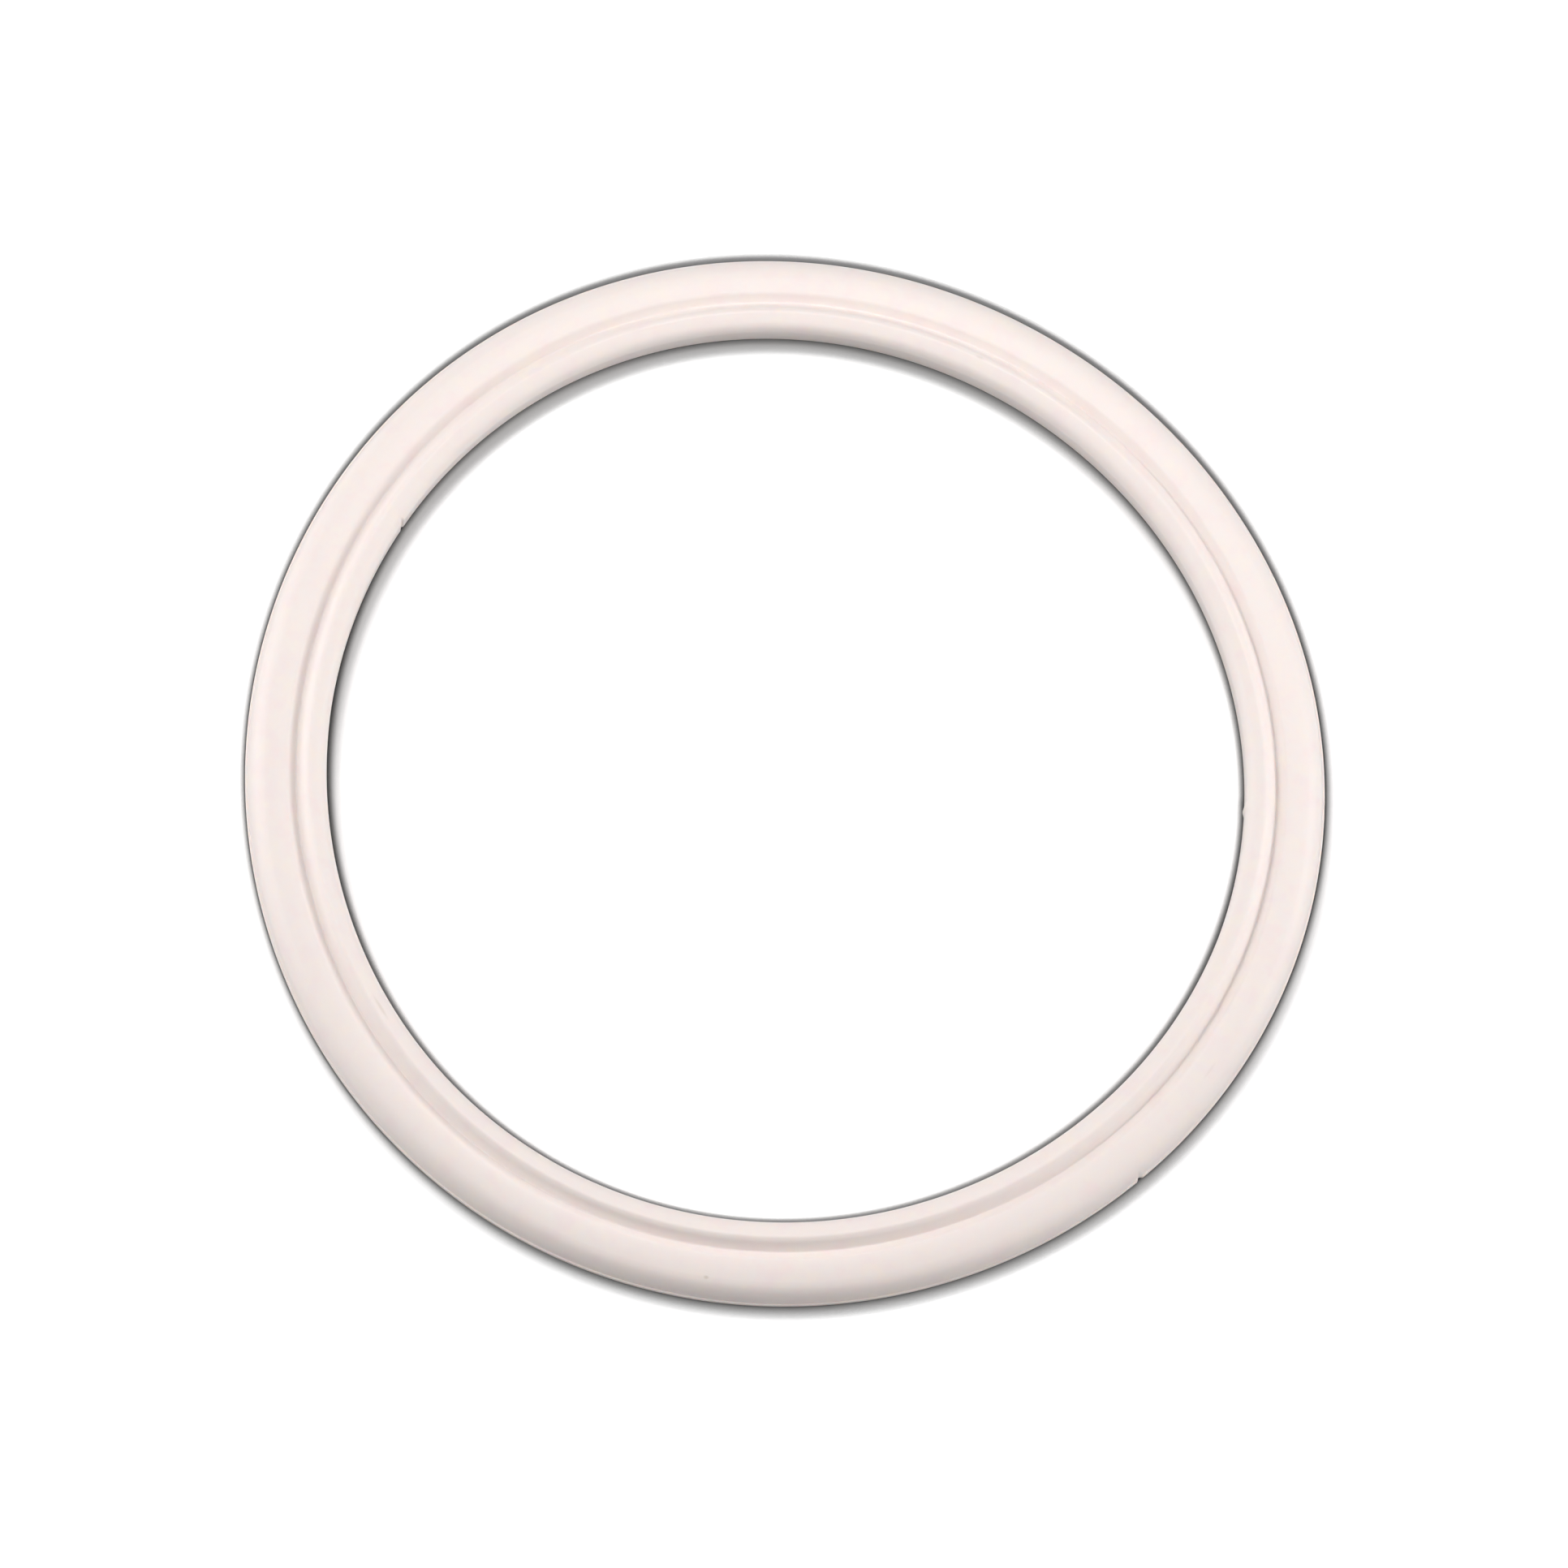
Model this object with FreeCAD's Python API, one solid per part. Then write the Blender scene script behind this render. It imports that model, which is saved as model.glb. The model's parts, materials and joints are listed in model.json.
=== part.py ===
import FreeCAD, Part
import math
import os

# A profiled sealing ring, moulded in one piece from soft white rubber.
# Lengths are in millimetres. The ring lies flat on the plane Z = 0 with its axis on +Z and its
# profiled side up. From the outside inwards its section has a low lip, a broad crowned band, a
# groove, and a taller rounded bead whose back slopes down to the inner wall. Its base is flat.
# The widths below follow one another inwards from the outer wall, and each rise or drop is
# counted from the corner before it.

# Plan of the ring
OUTER_DIAMETER = 171.4

# Outer lip, with the narrow ledge between the outer wall and the shoulder
LIP_HEIGHT = 0.9
LEDGE_WIDTH = 0.3

# Crowned band: a steep shoulder on the ledge, a crest, and a nearly level land that ends at the groove
SHOULDER_WIDTH = 0.6
SHOULDER_RISE = 3.1
SHOULDER_RADIUS = 3.5
CREST_WIDTH = 3.2
CREST_RISE = 1.1
CREST_RADIUS = 6.7
LAND_WIDTH = 2.45
LAND_DROP = 0.1
LAND_RADIUS = 1.0

# Groove between the crown and the bead
GROOVE_WIDTH = 1.3
GROOVE_DROP = 1.25
GROOVE_RADIUS = 0.23

# Inner bead: a steep flank out of the groove, a top that still climbs, and a back that slopes down
BEAD_FLANK_WIDTH = 1.3
BEAD_FLANK_RISE = 1.75
BEAD_FLANK_RADIUS = 1.9
BEAD_TOP_WIDTH = 0.75
BEAD_TOP_RISE = 0.35
BEAD_TOP_RADIUS = 0.6
BEAD_BACK_WIDTH = 2.3
BEAD_BACK_DROP = 0.7
BEAD_BACK_RADIUS = 2.1

# Inner side: it leans back from the upright foot of the inner wall to the bead
WALL_LEAN = 0.5
WALL_FOOT_HEIGHT = 3.65
WALL_FOOT_RADIUS = 1.0

# Radii of the small edges
BASE_EDGE_RADIUS = 0.15
LIP_EDGE_RADIUS = 0.15
LEDGE_ROOT_RADIUS = 0.1

# Chip in the outer lip, a scoop that runs from the base up through the ledge
CHIP_ANGLE = 325.5
CHIP_LENGTH = 1.4
CHIP_DEPTH = 0.6

# A rounded corner keeps this share of a run at most, so that two neighbours never meet
LARGEST_SHARE_OF_RUN = 0.98
FULL_TURN = 360.0


def section_corners():
    """Corners of the section as (distance inwards from the outer wall, height, corner radius)."""
    shoulder = (LEDGE_WIDTH + SHOULDER_WIDTH, LIP_HEIGHT + SHOULDER_RISE)
    crest = (shoulder[0] + CREST_WIDTH, shoulder[1] + CREST_RISE)
    land = (crest[0] + LAND_WIDTH, crest[1] - LAND_DROP)
    groove = (land[0] + GROOVE_WIDTH, land[1] - GROOVE_DROP)
    bead_start = (groove[0] + BEAD_FLANK_WIDTH, groove[1] + BEAD_FLANK_RISE)
    bead_end = (bead_start[0] + BEAD_TOP_WIDTH, bead_start[1] + BEAD_TOP_RISE)
    back = (bead_end[0] + BEAD_BACK_WIDTH, bead_end[1] - BEAD_BACK_DROP)
    band_width = back[0] + WALL_LEAN
    return [
        (0.0, 0.0, BASE_EDGE_RADIUS),
        (0.0, LIP_HEIGHT, LIP_EDGE_RADIUS),
        (LEDGE_WIDTH, LIP_HEIGHT, LEDGE_ROOT_RADIUS),
        (*shoulder, SHOULDER_RADIUS),
        (*crest, CREST_RADIUS),
        (*land, LAND_RADIUS),
        (*groove, GROOVE_RADIUS),
        (*bead_start, BEAD_FLANK_RADIUS),
        (*bead_end, BEAD_TOP_RADIUS),
        (*back, BEAD_BACK_RADIUS),
        (band_width, WALL_FOOT_HEIGHT, WALL_FOOT_RADIUS),
        (band_width, 0.0, BASE_EDGE_RADIUS),
    ]


def turn_angle(before, corner, after):
    """Angle in radians by which the outline turns at a corner."""
    return (corner - before).getAngle(after - corner)


def rounded_outline(points, radii):
    """A closed wire through the points, each corner rounded by an arc tangent to its two runs."""
    count = len(points)
    tangents = [
        radii[i] * math.tan(turn_angle(points[i - 1], points[i], points[(i + 1) % count]) / 2)
        for i in range(count)
    ]
    shares = [1.0] * count
    for i in range(count):
        j = (i + 1) % count
        room = LARGEST_SHARE_OF_RUN * (points[j] - points[i]).Length
        share = min(1.0, room / (tangents[i] + tangents[j]))
        shares[i] = min(shares[i], share)
        shares[j] = min(shares[j], share)
    edges = []
    starts = []
    ends = []
    for i in range(count):
        before = points[i - 1]
        corner = points[i]
        after = points[(i + 1) % count]
        reach = tangents[i] * shares[i]
        start = corner + (before - corner).normalize() * reach
        end = corner + (after - corner).normalize() * reach
        half_turn = turn_angle(before, corner, after) / 2
        chord_middle = (start + end) / 2
        radius = reach / math.tan(half_turn)
        sagitta = radius * (1 - math.cos(half_turn))
        middle = chord_middle + (corner - chord_middle).normalize() * sagitta
        edges.append(Part.Arc(start, middle, end).toShape())
        starts.append(start)
        ends.append(end)
    for i in range(count):
        edges.append(Part.LineSegment(ends[i], starts[(i + 1) % count]).toShape())
    return Part.Wire(Part.sortEdges(edges)[0])


def ring_body():
    """The section turned once around the ring's axis."""
    outer_radius = OUTER_DIAMETER / 2
    corners = section_corners()
    points = [FreeCAD.Vector(outer_radius - inwards, 0, height) for inwards, height, _ in corners]
    radii = [radius for _, _, radius in corners]
    face = Part.Face(rounded_outline(points, radii))
    return face.revolve(FreeCAD.Vector(0, 0, 0), FreeCAD.Vector(0, 0, 1), FULL_TURN)


def lip_chip():
    """The scoop that is missing from the outer lip, as an upright cylinder across the outer wall."""
    half_length = CHIP_LENGTH / 2
    scoop_radius = (half_length**2 + CHIP_DEPTH**2) / (2 * CHIP_DEPTH)
    scoop_distance = OUTER_DIAMETER / 2 - CHIP_DEPTH + scoop_radius
    height = LIP_HEIGHT + SHOULDER_RISE
    scoop = Part.makeCylinder(scoop_radius, height, FreeCAD.Vector(scoop_distance, 0, 0))
    scoop.rotate(FreeCAD.Vector(0, 0, 0), FreeCAD.Vector(0, 0, 1), CHIP_ANGLE)
    return scoop


def sealing_ring():
    """The finished ring as one solid."""
    chipped = ring_body().cut(lip_chip())
    return chipped.Solids[0]


os.makedirs("parts", exist_ok=True)
ring = sealing_ring()
ring.exportStep("parts/sealing_ring.step")
print("sealing_ring", ring.isValid(), round(ring.Volume, 2), ring.BoundBox)
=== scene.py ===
"""A moulded white rubber sealing ring that lies flat, profiled side up, on a pale studio floor."""

import json
import logging
import math
from dataclasses import dataclass
from enum import Enum

import bpy
import numpy as np
from mathutils import Matrix, Vector

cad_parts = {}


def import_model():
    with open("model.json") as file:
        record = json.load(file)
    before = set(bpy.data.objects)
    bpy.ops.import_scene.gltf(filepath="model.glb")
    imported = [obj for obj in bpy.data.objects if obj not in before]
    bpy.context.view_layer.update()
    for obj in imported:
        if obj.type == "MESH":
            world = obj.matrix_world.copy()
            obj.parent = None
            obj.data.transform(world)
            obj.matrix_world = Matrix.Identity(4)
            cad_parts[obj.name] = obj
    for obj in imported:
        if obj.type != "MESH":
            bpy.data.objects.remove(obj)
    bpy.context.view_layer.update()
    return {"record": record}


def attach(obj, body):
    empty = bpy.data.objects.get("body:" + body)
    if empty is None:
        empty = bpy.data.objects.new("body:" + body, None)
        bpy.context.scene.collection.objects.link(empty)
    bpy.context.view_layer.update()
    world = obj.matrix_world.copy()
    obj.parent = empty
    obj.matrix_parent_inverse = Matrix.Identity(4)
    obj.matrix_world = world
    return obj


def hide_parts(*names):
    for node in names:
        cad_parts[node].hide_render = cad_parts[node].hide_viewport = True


MM = 0.001
FULL_TURN = 2 * math.pi
PHOTO_SIDE_PX = 1932
SENSOR_WIDTH_MM = 36.0
log = logging.getLogger("sealing_ring")

Array = np.ndarray
Tree = bpy.types.NodeTree
Socket = bpy.types.NodeSocket


class Side(Enum):
    """The two walls of the band that a small flaw can lie on."""

    OUTER = "outer"
    INNER = "inner"


def linear_colour(hex_colour: str) -> tuple[float, float, float, float]:
    """Turn an sRGB hex colour into linear values.

    Args:
        hex_colour: Six hex digits, with or without a leading hash.

    Returns:
        Linear red, green and blue, with an alpha of one.
    """
    digits = hex_colour.lstrip("#")
    channels = [int(digits[i : i + 2], 16) / 255 for i in (0, 2, 4)]
    linear = [c / 12.92 if c <= 0.04045 else ((c + 0.055) / 1.055) ** 2.4 for c in channels]
    return (*linear, 1.0)


def add_node(
    tree: Tree, kind: str, settings: dict[str, object], sockets: dict[str | int, object]
) -> bpy.types.Node:
    """Add one node with its settings, its constant inputs and its links.

    Args:
        tree: The node tree that gets the node.
        kind: Blender's name for the node's type.
        settings: Attributes of the node, set first.
        sockets: Input name or number to a constant, or to the output socket that feeds it.

    Returns:
        The new node.
    """
    node = tree.nodes.new(kind)
    for name, value in settings.items():
        setattr(node, name, value)
    for name, value in sockets.items():
        if isinstance(value, Socket):
            tree.links.new(value, node.inputs[name])
        else:
            node.inputs[name].default_value = value
    return node


def bare_material(name: str) -> bpy.types.Material:
    """Make a material with an empty node tree.

    Args:
        name: Name of the material.

    Returns:
        The material.
    """
    material = bpy.data.materials.new(name)
    material.use_nodes = True
    material.node_tree.nodes.clear()
    return material


def add_object(name: str, data: bpy.types.ID) -> bpy.types.Object:
    """Put a mesh, a lamp or a camera into the scene.

    Args:
        name: Name of the object.
        data: What the object shows.

    Returns:
        The object, at the origin.
    """
    added = bpy.data.objects.new(name, data)
    bpy.context.scene.collection.objects.link(added)
    return added


def direction(azimuth_deg: float, elevation_deg: float) -> Vector:
    """Give the unit vector at an azimuth from +X and an elevation above the floor.

    Args:
        azimuth_deg: Angle from +X towards +Y, in degrees.
        elevation_deg: Angle above the floor, in degrees.

    Returns:
        A vector of length one.
    """
    azimuth = math.radians(azimuth_deg)
    elevation = math.radians(elevation_deg)
    level = math.cos(elevation)
    return Vector((math.cos(azimuth) * level, math.sin(azimuth) * level, math.sin(elevation)))


@dataclass(frozen=True)
class Flaw:
    """A small dent in one wall of the ring, or a small bump where its depth is negative."""

    side: Side
    azimuth_deg: float
    length: float
    depth: float
    reach: float = 0.4 * MM

    def push(self, azimuth: Array, distance: Array, radius: float) -> Array:
        """Work out how far each point moves into the band.

        Along the wall the move is a bell, the squared cosine of the distance from the flaw's
        middle. Away from the wall it fades as a falling exponential.

        Args:
            azimuth: Angle of each point about the ring's axis, in radians.
            distance: Distance of each point from the wall that has the flaw, in metres.
            radius: Radius of that wall, in metres.

        Returns:
            The move away from that wall, in metres.
        """
        centre = math.radians(self.azimuth_deg)
        turn = np.angle(np.exp(1j * (azimuth - centre)))
        along = np.clip(turn * radius / (self.length / 2), -1.0, 1.0)
        bell = np.cos(along * math.pi / 2) ** 2
        return self.depth * bell * np.exp(-distance / self.reach)


@dataclass(frozen=True)
class Stain:
    """A faint mark on the band, as an ellipse that lies along the ring."""

    azimuth_deg: float
    inwards: float
    length: float
    width: float
    strength: float


@dataclass(frozen=True)
class MouldedRubber:
    """White food-grade silicone rubber, press-moulded and left as it comes out of the mould.

    To the eye it is a warm, slightly pink white with a soft satin sheen. Light goes a little way
    in, so shaded flanks stay warm and edges never look hard. The mould's fine blasted finish
    breaks the sheen up, and skin oil and dust give faint cream and pink clouds.
    """

    name: str = "moulded_white_silicone"
    body: str = "#F0E6E2"
    cloud: str = "#F2E8DF"
    blush: str = "#F0E1E0"
    dirt: str = "#CFC3B6"
    roughness: float = 0.46
    ior: float = 1.41
    scatter_weight: float = 0.6
    scatter_depth: float = 0.4 * MM
    scatter_spread: tuple[float, float, float] = (1.0, 0.75, 0.6)
    grain: float = 0.12 * MM
    grain_height: float = 0.012 * MM
    grain_strength: float = 0.25
    grain_detail: float = 1.0
    cloud_size: float = 3.0 * MM
    cloud_detail: float = 2.0
    cloud_start: float = 0.45
    cloud_full: float = 0.75
    cloud_strength: float = 0.6
    blush_shift: float = 4.7
    stain_core: float = 0.3
    stain_rim: float = 1.2
    stains: tuple[Stain, ...] = (
        Stain(azimuth_deg=275.6, inwards=3.1 * MM, length=0.9 * MM, width=0.6 * MM, strength=0.6),
        Stain(azimuth_deg=226.0, inwards=11.0 * MM, length=4.7 * MM, width=0.6 * MM, strength=0.35),
        Stain(azimuth_deg=80.0, inwards=10.5 * MM, length=1.6 * MM, width=0.6 * MM, strength=0.3),
        Stain(azimuth_deg=339.0, inwards=4.0 * MM, length=3.6 * MM, width=0.5 * MM, strength=0.15),
    )

    def build(self, outer_radius: float) -> bpy.types.Material:
        """Make the material.

        Args:
            outer_radius: Radius of the outer wall, in metres.

        Returns:
            The finished material.
        """
        material = bare_material(self.name)
        tree = material.node_tree
        place = add_node(tree, "ShaderNodeTexCoord", {}, {}).outputs["Object"]
        clouded = self.clouded_colour(tree, place)
        shader = add_node(
            tree,
            "ShaderNodeBsdfPrincipled",
            {"subsurface_method": "RANDOM_WALK"},
            {
                "Base Color": self.stained_colour(tree, place, clouded, outer_radius),
                "Roughness": self.roughness,
                "IOR": self.ior,
                "Subsurface Weight": self.scatter_weight,
                "Subsurface Radius": self.scatter_spread,
                "Subsurface Scale": self.scatter_depth,
                "Normal": self.mould_grain(tree, place),
            },
        )
        add_node(tree, "ShaderNodeOutputMaterial", {}, {"Surface": shader.outputs["BSDF"]})
        return material

    def clouded_colour(self, tree: Tree, place: Socket) -> Socket:
        """Blend the body colour with cream and pink clouds, by two smooth noises a few mm wide.

        Both are the same noise, but the pink one is moved aside, so the two don't coincide.

        Args:
            tree: The material's node tree.
            place: Output with the object coordinates.

        Returns:
            The output with the blended colour.
        """
        colour = linear_colour(self.body)
        for tint, shift in ((self.cloud, 0.0), (self.blush, self.blush_shift)):
            moved = add_node(
                tree,
                "ShaderNodeVectorMath",
                {"operation": "ADD"},
                {0: place, 1: (shift, shift, 0.0)},
            )
            noise = add_node(
                tree,
                "ShaderNodeTexNoise",
                {},
                {
                    "Vector": moved.outputs[0],
                    "Scale": 1 / self.cloud_size,
                    "Detail": self.cloud_detail,
                },
            )
            share = add_node(
                tree,
                "ShaderNodeMapRange",
                {"interpolation_type": "SMOOTHSTEP"},
                {
                    "Value": noise.outputs["Fac"],
                    "From Min": self.cloud_start,
                    "From Max": self.cloud_full,
                    "To Max": self.cloud_strength,
                },
            )
            mix = add_node(
                tree,
                "ShaderNodeMix",
                {"data_type": "RGBA"},
                {"Factor": share.outputs["Result"], 6: colour, 7: linear_colour(tint)},
            )
            colour = mix.outputs[2]
        return colour

    def stained_colour(
        self, tree: Tree, place: Socket, colour: Socket, outer_radius: float
    ) -> Socket:
        """Lay the faint marks over the colour, each a soft-edged ellipse.

        Args:
            tree: The material's node tree.
            place: Output with the object coordinates.
            colour: Output with the colour under the marks.
            outer_radius: Radius of the outer wall, in metres.

        Returns:
            The output with the marked colour.
        """
        for stain in self.stains:
            centre = direction(stain.azimuth_deg, 0.0) * (outer_radius - stain.inwards)
            local = add_node(
                tree,
                "ShaderNodeMapping",
                {"vector_type": "TEXTURE"},
                {
                    "Vector": place,
                    "Location": centre,
                    "Rotation": (0.0, 0.0, math.radians(stain.azimuth_deg)),
                    "Scale": (stain.width / 2, stain.length / 2, 1.0),
                },
            )
            flat = add_node(
                tree,
                "ShaderNodeVectorMath",
                {"operation": "MULTIPLY"},
                {0: local.outputs[0], 1: (1.0, 1.0, 0.0)},
            )
            far = add_node(
                tree, "ShaderNodeVectorMath", {"operation": "LENGTH"}, {0: flat.outputs[0]}
            )
            share = add_node(
                tree,
                "ShaderNodeMapRange",
                {"interpolation_type": "SMOOTHSTEP"},
                {
                    "Value": far.outputs["Value"],
                    "From Min": self.stain_core,
                    "From Max": self.stain_rim,
                    "To Min": stain.strength,
                    "To Max": 0.0,
                },
            )
            mix = add_node(
                tree,
                "ShaderNodeMix",
                {"data_type": "RGBA"},
                {"Factor": share.outputs["Result"], 6: colour, 7: linear_colour(self.dirt)},
            )
            colour = mix.outputs[2]
        return colour

    def mould_grain(self, tree: Tree, place: Socket) -> Socket:
        """Give the normal of the fine blasted mould finish.

        Real grain is nearer 0.05 mm, and is drawn coarser so that it shows.

        Args:
            tree: The material's node tree.
            place: Output with the object coordinates.

        Returns:
            The output with the bumped normal.
        """
        noise = add_node(
            tree,
            "ShaderNodeTexNoise",
            {},
            {"Vector": place, "Scale": 1 / self.grain, "Detail": self.grain_detail},
        )
        bump = add_node(
            tree,
            "ShaderNodeBump",
            {},
            {
                "Height": noise.outputs["Fac"],
                "Strength": self.grain_strength,
                "Distance": self.grain_height,
            },
        )
        return bump.outputs["Normal"]


@dataclass
class SealingRing:
    """The ring as one closed surface: its rounded section carried round the axis.

    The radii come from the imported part. The rest of the section repeats the part's own sizes, in
    metres. Each width runs inwards from the corner before it, and each rise or drop is counted
    from there too.
    """

    outer_radius: float
    inner_radius: float
    lip_height: float = 0.9 * MM
    ledge_width: float = 0.3 * MM
    shoulder_width: float = 0.6 * MM
    shoulder_rise: float = 3.1 * MM
    shoulder_radius: float = 3.5 * MM
    crest_width: float = 3.2 * MM
    crest_rise: float = 1.1 * MM
    crest_radius: float = 6.7 * MM
    land_width: float = 2.45 * MM
    land_drop: float = 0.1 * MM
    land_radius: float = 1.0 * MM
    groove_width: float = 1.3 * MM
    groove_drop: float = 1.25 * MM
    groove_radius: float = 0.23 * MM
    bead_flank_width: float = 1.3 * MM
    bead_flank_rise: float = 1.75 * MM
    bead_flank_radius: float = 1.9 * MM
    bead_top_width: float = 0.75 * MM
    bead_top_rise: float = 0.35 * MM
    bead_top_radius: float = 0.6 * MM
    bead_back_drop: float = 0.7 * MM
    bead_back_radius: float = 2.1 * MM
    wall_lean: float = 0.5 * MM
    wall_foot_height: float = 3.65 * MM
    wall_foot_radius: float = 1.0 * MM
    base_edge_radius: float = 0.15 * MM
    lip_edge_radius: float = 0.15 * MM
    ledge_root_radius: float = 0.1 * MM
    lobe_swing: float = 0.435 * MM
    lobe_azimuth_deg: float = 8.97
    lobe_count: int = 3
    arc_step_deg: float = 11.0
    least_arc_steps: int = 3
    run_step: float = 1.5 * MM
    turns: int = 840
    flaw_steps: int = 40
    least_gap_rad: float = 2e-5
    flaws: tuple[Flaw, ...] = (
        Flaw(Side.OUTER, azimuth_deg=325.5, length=1.4 * MM, depth=0.45 * MM),
        Flaw(Side.INNER, azimuth_deg=160.6, length=1.0 * MM, depth=0.3 * MM),
        Flaw(Side.INNER, azimuth_deg=11.2, length=2.2 * MM, depth=-0.22 * MM),
    )

    def corners(self) -> tuple[Array, Array]:
        """List the section's corners, outer wall first and then over the top.

        Returns:
            Corners as rows of distance inwards and height, and the radius of each, in metres.
        """
        band = self.outer_radius - self.inner_radius
        shoulder = self.ledge_width + self.shoulder_width
        crest = shoulder + self.crest_width
        land = crest + self.land_width
        groove = land + self.groove_width
        bead = groove + self.bead_flank_width
        shoulder_height = self.lip_height + self.shoulder_rise
        crest_height = shoulder_height + self.crest_rise
        land_height = crest_height - self.land_drop
        groove_height = land_height - self.groove_drop
        bead_height = groove_height + self.bead_flank_rise
        top_height = bead_height + self.bead_top_rise
        rows = [
            (0.0, 0.0, self.base_edge_radius),
            (0.0, self.lip_height, self.lip_edge_radius),
            (self.ledge_width, self.lip_height, self.ledge_root_radius),
            (shoulder, shoulder_height, self.shoulder_radius),
            (crest, crest_height, self.crest_radius),
            (land, land_height, self.land_radius),
            (groove, groove_height, self.groove_radius),
            (bead, bead_height, self.bead_flank_radius),
            (bead + self.bead_top_width, top_height, self.bead_top_radius),
            (band - self.wall_lean, top_height - self.bead_back_drop, self.bead_back_radius),
            (band, self.wall_foot_height, self.wall_foot_radius),
            (band, 0.0, self.base_edge_radius),
        ]
        table = np.array(rows)
        return table[:, :2], table[:, 2]

    def section(self) -> Array:
        """Round the section's corners and sample it.

        Each corner becomes an arc tangent to its two runs. A point of the arc is its centre plus the
        vectors from the centre to the arc's two ends, each times the sine of its share of the turn
        and divided by the sine of the turn. Straight runs are cut into equal steps.

        Returns:
            Points of the closed section as rows of distance inwards and height, in metres.
        """
        points, radii = self.corners()
        before = np.roll(points, 1, axis=0) - points
        after = np.roll(points, -1, axis=0) - points
        before /= np.linalg.norm(before, axis=1)[:, None]
        after /= np.linalg.norm(after, axis=1)[:, None]
        turn = math.pi - np.arccos(np.clip((before * after).sum(1), -1.0, 1.0))
        reach = radii * np.tan(turn / 2)
        starts = points + before * reach[:, None]
        ends = points + after * reach[:, None]
        bisector = before + after
        bisector /= np.linalg.norm(bisector, axis=1)[:, None]
        centres = points + bisector * (radii / np.cos(turn / 2))[:, None]
        pieces = []
        for i in range(len(points)):
            steps = max(self.least_arc_steps, math.ceil(math.degrees(turn[i]) / self.arc_step_deg))
            share = np.linspace(0.0, 1.0, steps + 1)[:, None]
            first = starts[i] - centres[i]
            last = ends[i] - centres[i]
            arc = first * np.sin((1 - share) * turn[i]) + last * np.sin(share * turn[i])
            pieces.append(centres[i] + arc / math.sin(turn[i]))
            run = starts[(i + 1) % len(points)] - ends[i]
            cuts = max(1, round(float(np.linalg.norm(run)) / self.run_step))
            share = np.linspace(0.0, 1.0, cuts + 1)[1:-1, None]
            pieces.append(ends[i] + run * share)
        return np.concatenate(pieces)

    def azimuths(self) -> Array:
        """Spread the sections evenly round the axis, with closer ones across each flaw.

        The closer ones reach a flaw's length to either side of its middle. Of two that nearly
        coincide, one is dropped.

        Returns:
            Sorted angles about the axis, in radians.
        """
        angles = [np.arange(self.turns) * (FULL_TURN / self.turns)]
        for flaw in self.flaws:
            spread = flaw.length / self.outer_radius
            centre = math.radians(flaw.azimuth_deg)
            angles.append(centre + np.linspace(-spread, spread, self.flaw_steps))
        merged = np.sort(np.concatenate(angles) % FULL_TURN)
        gap = np.diff(merged, append=merged[0] + FULL_TURN)
        return merged[gap > self.least_gap_rad]

    def surface(self) -> tuple[Array, Array]:
        """Carry the section round the axis.

        A point at angle a and distance r from the axis is (r cos a, r sin a, z). The soft ring
        lies slightly out of round: r shrinks by the lobe swing times one minus the cosine of the
        lobe count times the angle from the first lobe. The flaws move points into the band.

        Returns:
            Vertices, and quads that point outwards.
        """
        section = self.section()
        angle = self.azimuths()[:, None]
        inwards = np.broadcast_to(section[:, 0], (len(angle), len(section))).copy()
        band = self.outer_radius - self.inner_radius
        for flaw in self.flaws:
            if flaw.side is Side.OUTER:
                inwards += flaw.push(angle, section[:, 0], self.outer_radius)
            else:
                inwards -= flaw.push(angle, band - section[:, 0], self.inner_radius)
        lobes = np.cos(self.lobe_count * (angle - math.radians(self.lobe_azimuth_deg)))
        radius = self.outer_radius - self.lobe_swing * (1 - lobes) - inwards
        height = np.broadcast_to(section[:, 1], radius.shape)
        grid = np.stack([radius * np.cos(angle), radius * np.sin(angle), height], axis=2)
        rows, columns = radius.shape
        index = np.arange(rows * columns).reshape(rows, columns)
        next_row = np.roll(index, -1, axis=0)
        quads = np.stack(
            [index, next_row, np.roll(next_row, -1, axis=1), np.roll(index, -1, axis=1)], axis=2
        )
        return grid.reshape(-1, 3), quads.reshape(-1, 4)

    def build(self, material: bpy.types.Material) -> bpy.types.Object:
        """Make the ring's object and dress it.

        Args:
            material: The rubber.

        Returns:
            The ring.
        """
        vertices, quads = self.surface()
        mesh = bpy.data.meshes.new("moulded_ring")
        mesh.from_pydata(vertices, [], quads)
        mesh.polygons.foreach_set("use_smooth", np.ones(len(quads), dtype=bool))
        mesh.materials.append(material)
        mesh.update()
        return add_object("moulded_ring", mesh)


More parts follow.
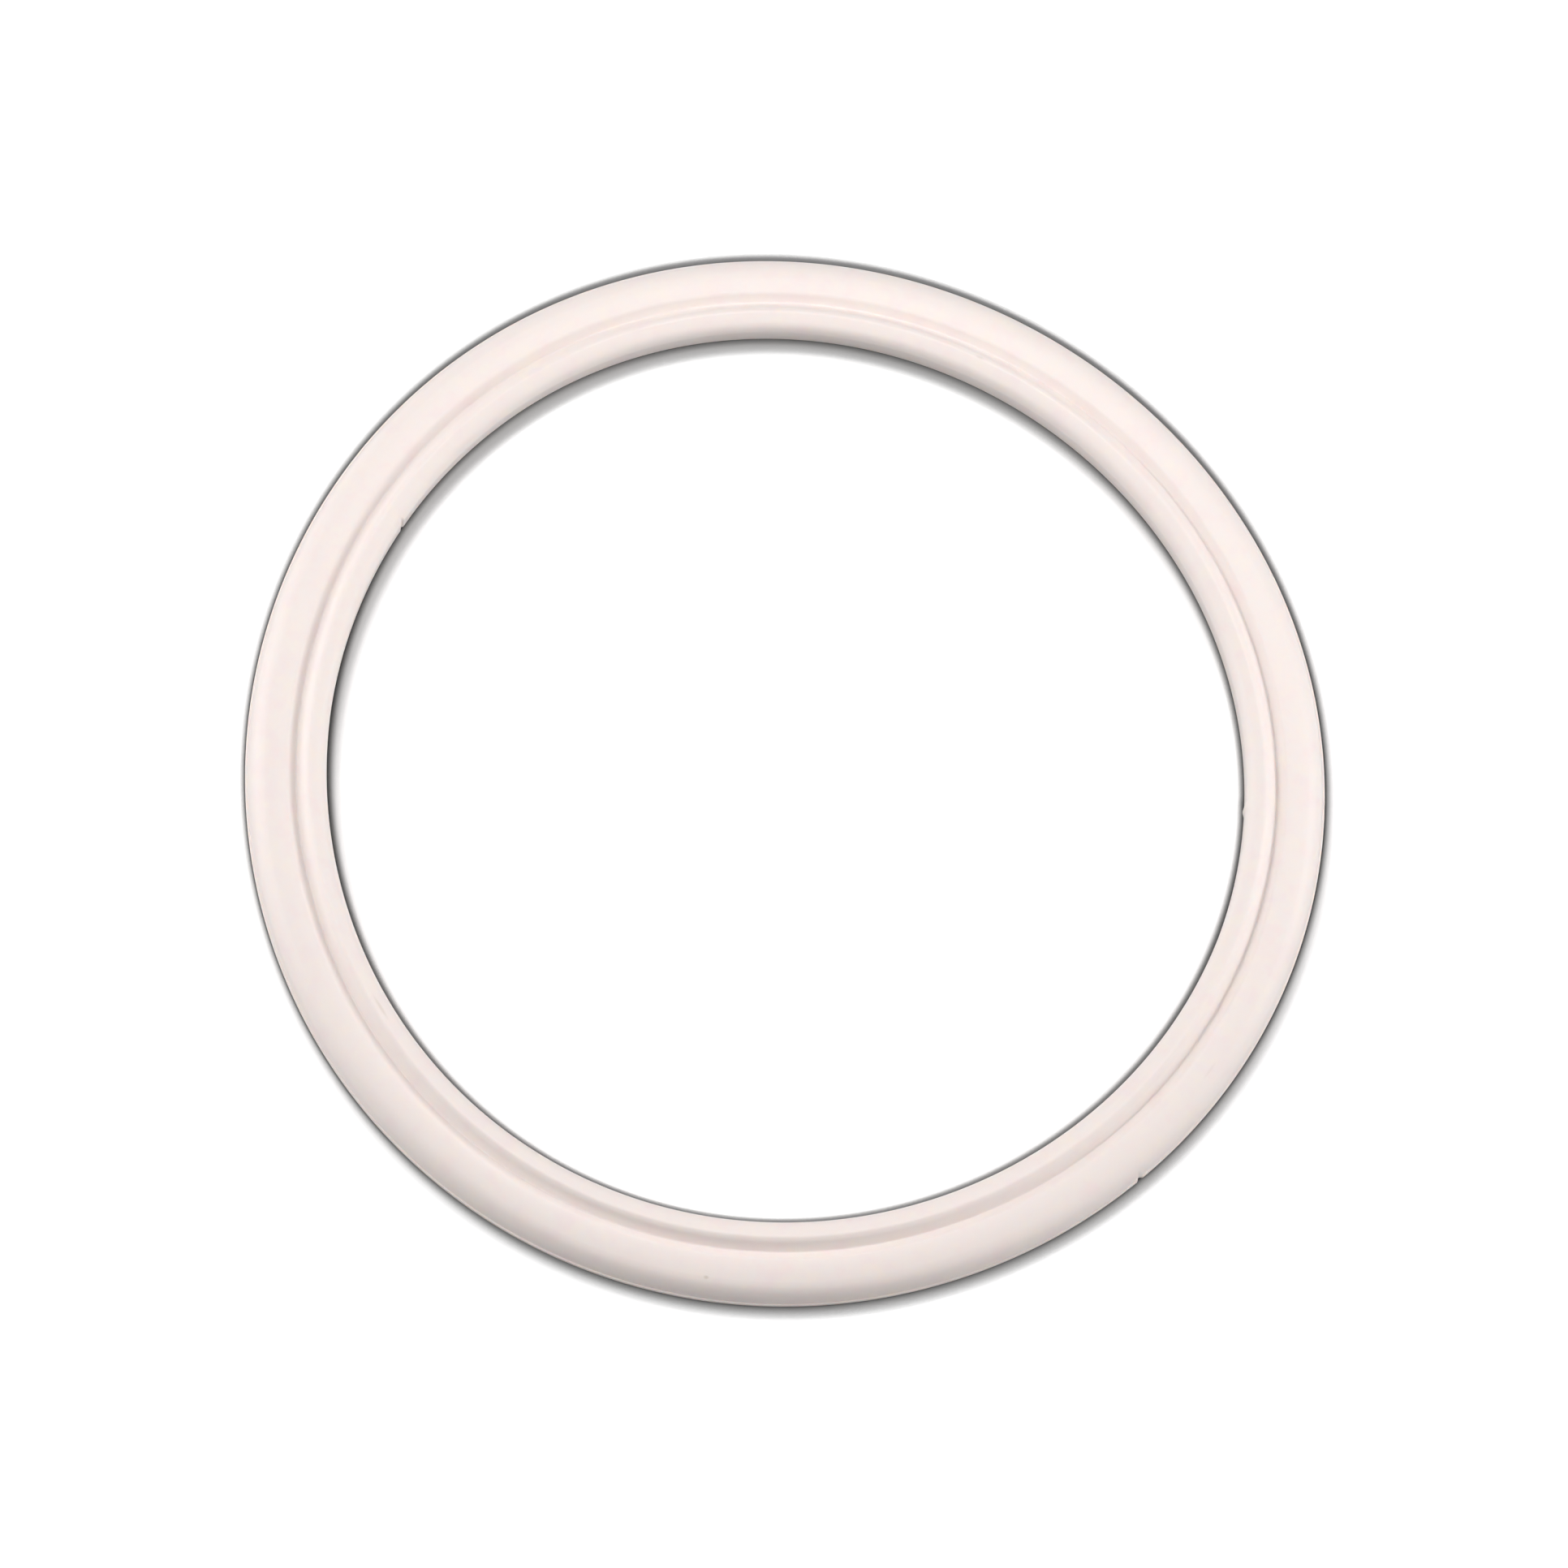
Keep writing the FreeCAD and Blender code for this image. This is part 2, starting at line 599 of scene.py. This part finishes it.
@dataclass(frozen=True)
class ContactShade:
    """How much of a small dome over the floor must be open for the card to keep its colour.

    The dome has a given reach and leans towards one side. The colour goes from a darkest share,
    where little of the dome is open, to the whole colour where nearly all of it is. What leans
    under the floor counts as open. This darkening is painted shade in the card's colour: a painted
    contact shade along the ring's edges, and a painted shadow where the dome leans low.
    """

    azimuth_deg: float
    elevation_deg: float
    reach: float
    least_open: float
    most_open: float
    darkest: float
    samples: int = 16

    def share(self, tree: Tree) -> Socket:
        """Add the nodes that measure the dome and turn it into a share of the colour.

        Args:
            tree: The floor material's node tree.

        Returns:
            The output with the share.
        """
        lean = direction(self.azimuth_deg, self.elevation_deg)
        normal = add_node(tree, "ShaderNodeCombineXYZ", {}, dict(zip("XYZ", lean)))
        dome = add_node(
            tree,
            "ShaderNodeAmbientOcclusion",
            {"samples": self.samples},
            {"Distance": self.reach, "Normal": normal.outputs[0]},
        )
        # Painted shade: the open share of the dome darkens the card's colour, as painted contact
        # shade or painted shadow.
        share = add_node(
            tree,
            "ShaderNodeMapRange",
            {},
            {
                "Value": dome.outputs["AO"],
                "From Min": self.least_open,
                "From Max": self.most_open,
                "To Min": self.darkest,
            },
        )
        return share.outputs["Result"]


@dataclass(frozen=True)
class PaleFloor:
    """A sweep of matt white card under the ring, lit as bright as its backdrop.

    To the eye it is one even white with no sheen, and grey only close to the ring, where the ring's
    real shadow falls and where painted shade and a painted shadow darken the card's colour. The light
    that it sends back up is that of a greyer card, so that the ring's flanks keep their shade.
    """

    outer_radius: float
    inner_radius: float
    half_side: float = 4.0
    colour: str = "#A8A8A8"
    seen_white: float = 1.31
    backdrop_strength: float = 1.0
    backdrop_start: float = 0.22
    backdrop_end: float = 0.5
    shaded_reach: float = 8.0 * MM
    shades: tuple[ContactShade, ...] = (
        ContactShade(0.0, 86.0, reach=1.41 * MM, least_open=0.425, most_open=0.943, darkest=0.34),
        ContactShade(127.0, 43.0, reach=4.04 * MM, least_open=0.578, most_open=0.837, darkest=0.37),
        ContactShade(273.0, 28.0, reach=1.86 * MM, least_open=0.666, most_open=0.942, darkest=0.2),
    )

    def build(self) -> bpy.types.Object:
        """Make the floor, a square on the plane Z = 0.

        Returns:
            The floor.
        """
        side = self.half_side
        corners = [(-side, -side, 0.0), (side, -side, 0.0), (side, side, 0.0), (-side, side, 0.0)]
        mesh = bpy.data.meshes.new("floor")
        mesh.from_pydata(corners, [], [(0, 1, 2, 3)])
        mesh.materials.append(self.finish())
        return add_object("floor", mesh)

    def finish(self) -> bpy.types.Material:
        """Make the card: white where it is seen, with the ring's real shadow and painted shade near
        it, greyer to bounced light.

        It counts as seen straight from the camera, in a reflection and through a clear piece.

        Returns:
            The material.
        """
        material = bare_material("white_card")
        tree = material.node_tree
        path = add_node(tree, "ShaderNodeLightPath", {}, {})
        seen = path.outputs["Is Camera Ray"]
        for kind in ("Is Glossy Ray", "Is Transmission Ray"):
            either = add_node(
                tree, "ShaderNodeMath", {"operation": "MAXIMUM"}, {0: seen, 1: path.outputs[kind]}
            )
            seen = either.outputs[0]
        # Painted shade: each contact shade darkens the seen card's colour near the ring.
        level: float | Socket = self.seen_white
        for shade in self.shades:
            product = add_node(
                tree, "ShaderNodeMath", {"operation": "MULTIPLY"}, {0: level, 1: shade.share(tree)}
            )
            level = product.outputs[0]
        shaded = add_node(
            tree, "ShaderNodeCombineColor", {}, {"Red": level, "Green": level, "Blue": level}
        )
        white = (self.seen_white, self.seen_white, self.seen_white, 1.0)
        plain, open_card, shaded_card = (
            add_node(tree, "ShaderNodeBsdfDiffuse", {}, {"Color": colour}).outputs[0]
            for colour in (linear_colour(self.colour), white, shaded.outputs[0])
        )
        backdrop = add_node(tree, "ShaderNodeEmission", {}, {"Strength": self.backdrop_strength})
        near, away = self.near_and_away(tree)
        sweep = add_node(
            tree, "ShaderNodeMixShader", {}, {0: away, 1: open_card, 2: backdrop.outputs[0]}
        )
        card = add_node(
            tree, "ShaderNodeMixShader", {}, {0: near, 1: sweep.outputs[0], 2: shaded_card}
        )
        both = add_node(tree, "ShaderNodeMixShader", {}, {0: seen, 1: plain, 2: card.outputs[0]})
        add_node(tree, "ShaderNodeOutputMaterial", {}, {"Surface": both.outputs[0]})
        return material

    def near_and_away(self, tree: Tree) -> tuple[Socket, Socket]:
        """Tell the card beside the ring from the backdrop, by the distance from the ring's axis.

        Args:
            tree: The material's node tree.

        Returns:
            An output that is one under and beside the band and zero elsewhere, and an output that
            rises from zero to one where the card becomes the white backdrop.
        """
        place = add_node(tree, "ShaderNodeTexCoord", {}, {}).outputs["Object"]
        length = add_node(tree, "ShaderNodeVectorMath", {"operation": "LENGTH"}, {0: place})
        far = length.outputs["Value"]
        middle = (self.outer_radius + self.inner_radius) / 2
        half_width = (self.outer_radius - self.inner_radius) / 2 + self.shaded_reach
        near = add_node(
            tree, "ShaderNodeMath", {"operation": "COMPARE"}, {0: far, 1: middle, 2: half_width}
        )
        away = add_node(
            tree,
            "ShaderNodeMapRange",
            {"interpolation_type": "SMOOTHSTEP"},
            {"Value": far, "From Min": self.backdrop_start, "From Max": self.backdrop_end},
        )
        return near.outputs[0], away.outputs["Result"]


@dataclass(frozen=True)
class SoftBox:
    """A rectangular studio lamp that faces the ring, a large one unless it has its own sizes.

    Lengths are in metres and the power is in watts.
    """

    name: str
    azimuth_deg: float
    elevation_deg: float
    power: float
    distance: float = 1.3
    width: float = 0.7
    height: float = 0.5

    def build(self) -> bpy.types.Object:
        """Place the lamp.

        Returns:
            The lamp.
        """
        data = bpy.data.lights.new(self.name, "AREA")
        data.shape = "RECTANGLE"
        data.size = self.width
        data.size_y = self.height
        data.energy = self.power
        away = direction(self.azimuth_deg, self.elevation_deg)
        lamp = add_object(self.name, data)
        lamp.location = away * self.distance
        lamp.rotation_mode = "QUATERNION"
        lamp.rotation_quaternion = away.to_track_quat("Z", "Y")
        return lamp


@dataclass(frozen=True)
class Studio:
    """The room's even light, its lamps and the camera."""

    room_light: float = 0.05
    seen_room: float = 1.0
    room_colour: str = "#FFFFFF"
    lamps: tuple[SoftBox, ...] = (
        SoftBox("low_left_box", 180.0, 10.0, power=1.84, distance=0.75, width=0.45, height=0.3),
        SoftBox("high_left_box", 185.0, 40.0, power=7.0),
        SoftBox("right_box", 18.0, 22.0, power=7.4),
        SoftBox("low_right_box", 330.0, 12.0, power=2.85),
        SoftBox("high_front_box", 275.0, 55.0, power=3.15),
        SoftBox("close_back_box", 95.0, 64.0, power=0.83, distance=0.48, width=0.3, height=0.2),
        SoftBox("close_right_box", 40.0, 40.0, power=0.3, distance=0.48, width=0.3, height=0.2),
    )
    camera_azimuth_deg: float = -90.0
    camera_elevation_deg: float = 74.33
    camera_roll_deg: float = 14.73
    camera_distance: float = 2.5
    clip_start: float = 0.025
    clip_end: float = 25.0
    frame_width: float = 247.18 * MM
    aim_px: tuple[float, float] = (1.0, -3.71)

    def build(self) -> None:
        """Light the ring and aim the camera."""
        self.light_room()
        for lamp in self.lamps:
            lamp.build()
        self.place_camera()

    def light_room(self) -> None:
        """Give the world an even soft light, and white where the camera looks past the floor."""
        world = bpy.data.worlds.new("room")
        bpy.context.scene.world = world
        world.use_nodes = True
        tree = world.node_tree
        tree.nodes.clear()
        seen = add_node(tree, "ShaderNodeLightPath", {}, {}).outputs["Is Camera Ray"]
        strength = add_node(
            tree,
            "ShaderNodeMapRange",
            {},
            {"Value": seen, "To Min": self.room_light, "To Max": self.seen_room},
        )
        back = add_node(
            tree,
            "ShaderNodeBackground",
            {},
            {"Color": linear_colour(self.room_colour), "Strength": strength.outputs["Result"]},
        )
        add_node(tree, "ShaderNodeOutputWorld", {}, {"Surface": back.outputs[0]})

    def place_camera(self) -> bpy.types.Object:
        """Place the camera at the photograph's viewing angle, rolled as the photograph is.

        Returns:
            The camera.
        """
        data = bpy.data.cameras.new("camera")
        data.sensor_width = SENSOR_WIDTH_MM
        data.lens = SENSOR_WIDTH_MM * self.camera_distance / self.frame_width
        data.clip_start = self.clip_start
        data.clip_end = self.clip_end
        back = direction(self.camera_azimuth_deg, self.camera_elevation_deg)
        level = back.to_track_quat("Z", "Y").to_matrix().to_4x4()
        turned = level @ Matrix.Rotation(math.radians(self.camera_roll_deg), 4, "Z")
        pixel = self.frame_width / PHOTO_SIDE_PX
        shift = turned @ Vector((self.aim_px[0] * pixel, self.aim_px[1] * pixel, 0.0))
        camera = add_object("camera", data)
        camera.matrix_world = Matrix.Translation(back * self.camera_distance + shift) @ turned
        bpy.context.scene.camera = camera
        return camera


def mount_radius(record: dict, name: str) -> float:
    """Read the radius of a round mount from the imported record, in metres."""
    return next(m for m in record["mounts"] if m["name"] == name)["dims"]["r_mm"] * MM


def main() -> None:
    """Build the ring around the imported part, then the floor, the light and the camera."""
    logging.basicConfig(level=logging.INFO)
    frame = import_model()
    outer_radius = mount_radius(frame["record"], "outer_wall")
    inner_radius = mount_radius(frame["record"], "inner_wall")
    rubber = MouldedRubber().build(outer_radius)
    ring = SealingRing(outer_radius, inner_radius).build(rubber)
    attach(ring, "root")
    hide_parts("sealing_ring")
    log.info("%s: %d faces", ring.name, len(ring.data.polygons))
    floor = PaleFloor(outer_radius, inner_radius).build()
    log.info("%s: stage", floor.name)
    Studio().build()
    bpy.context.scene.view_settings.view_transform = "Standard"


if __name__ == "__main__":
    main()
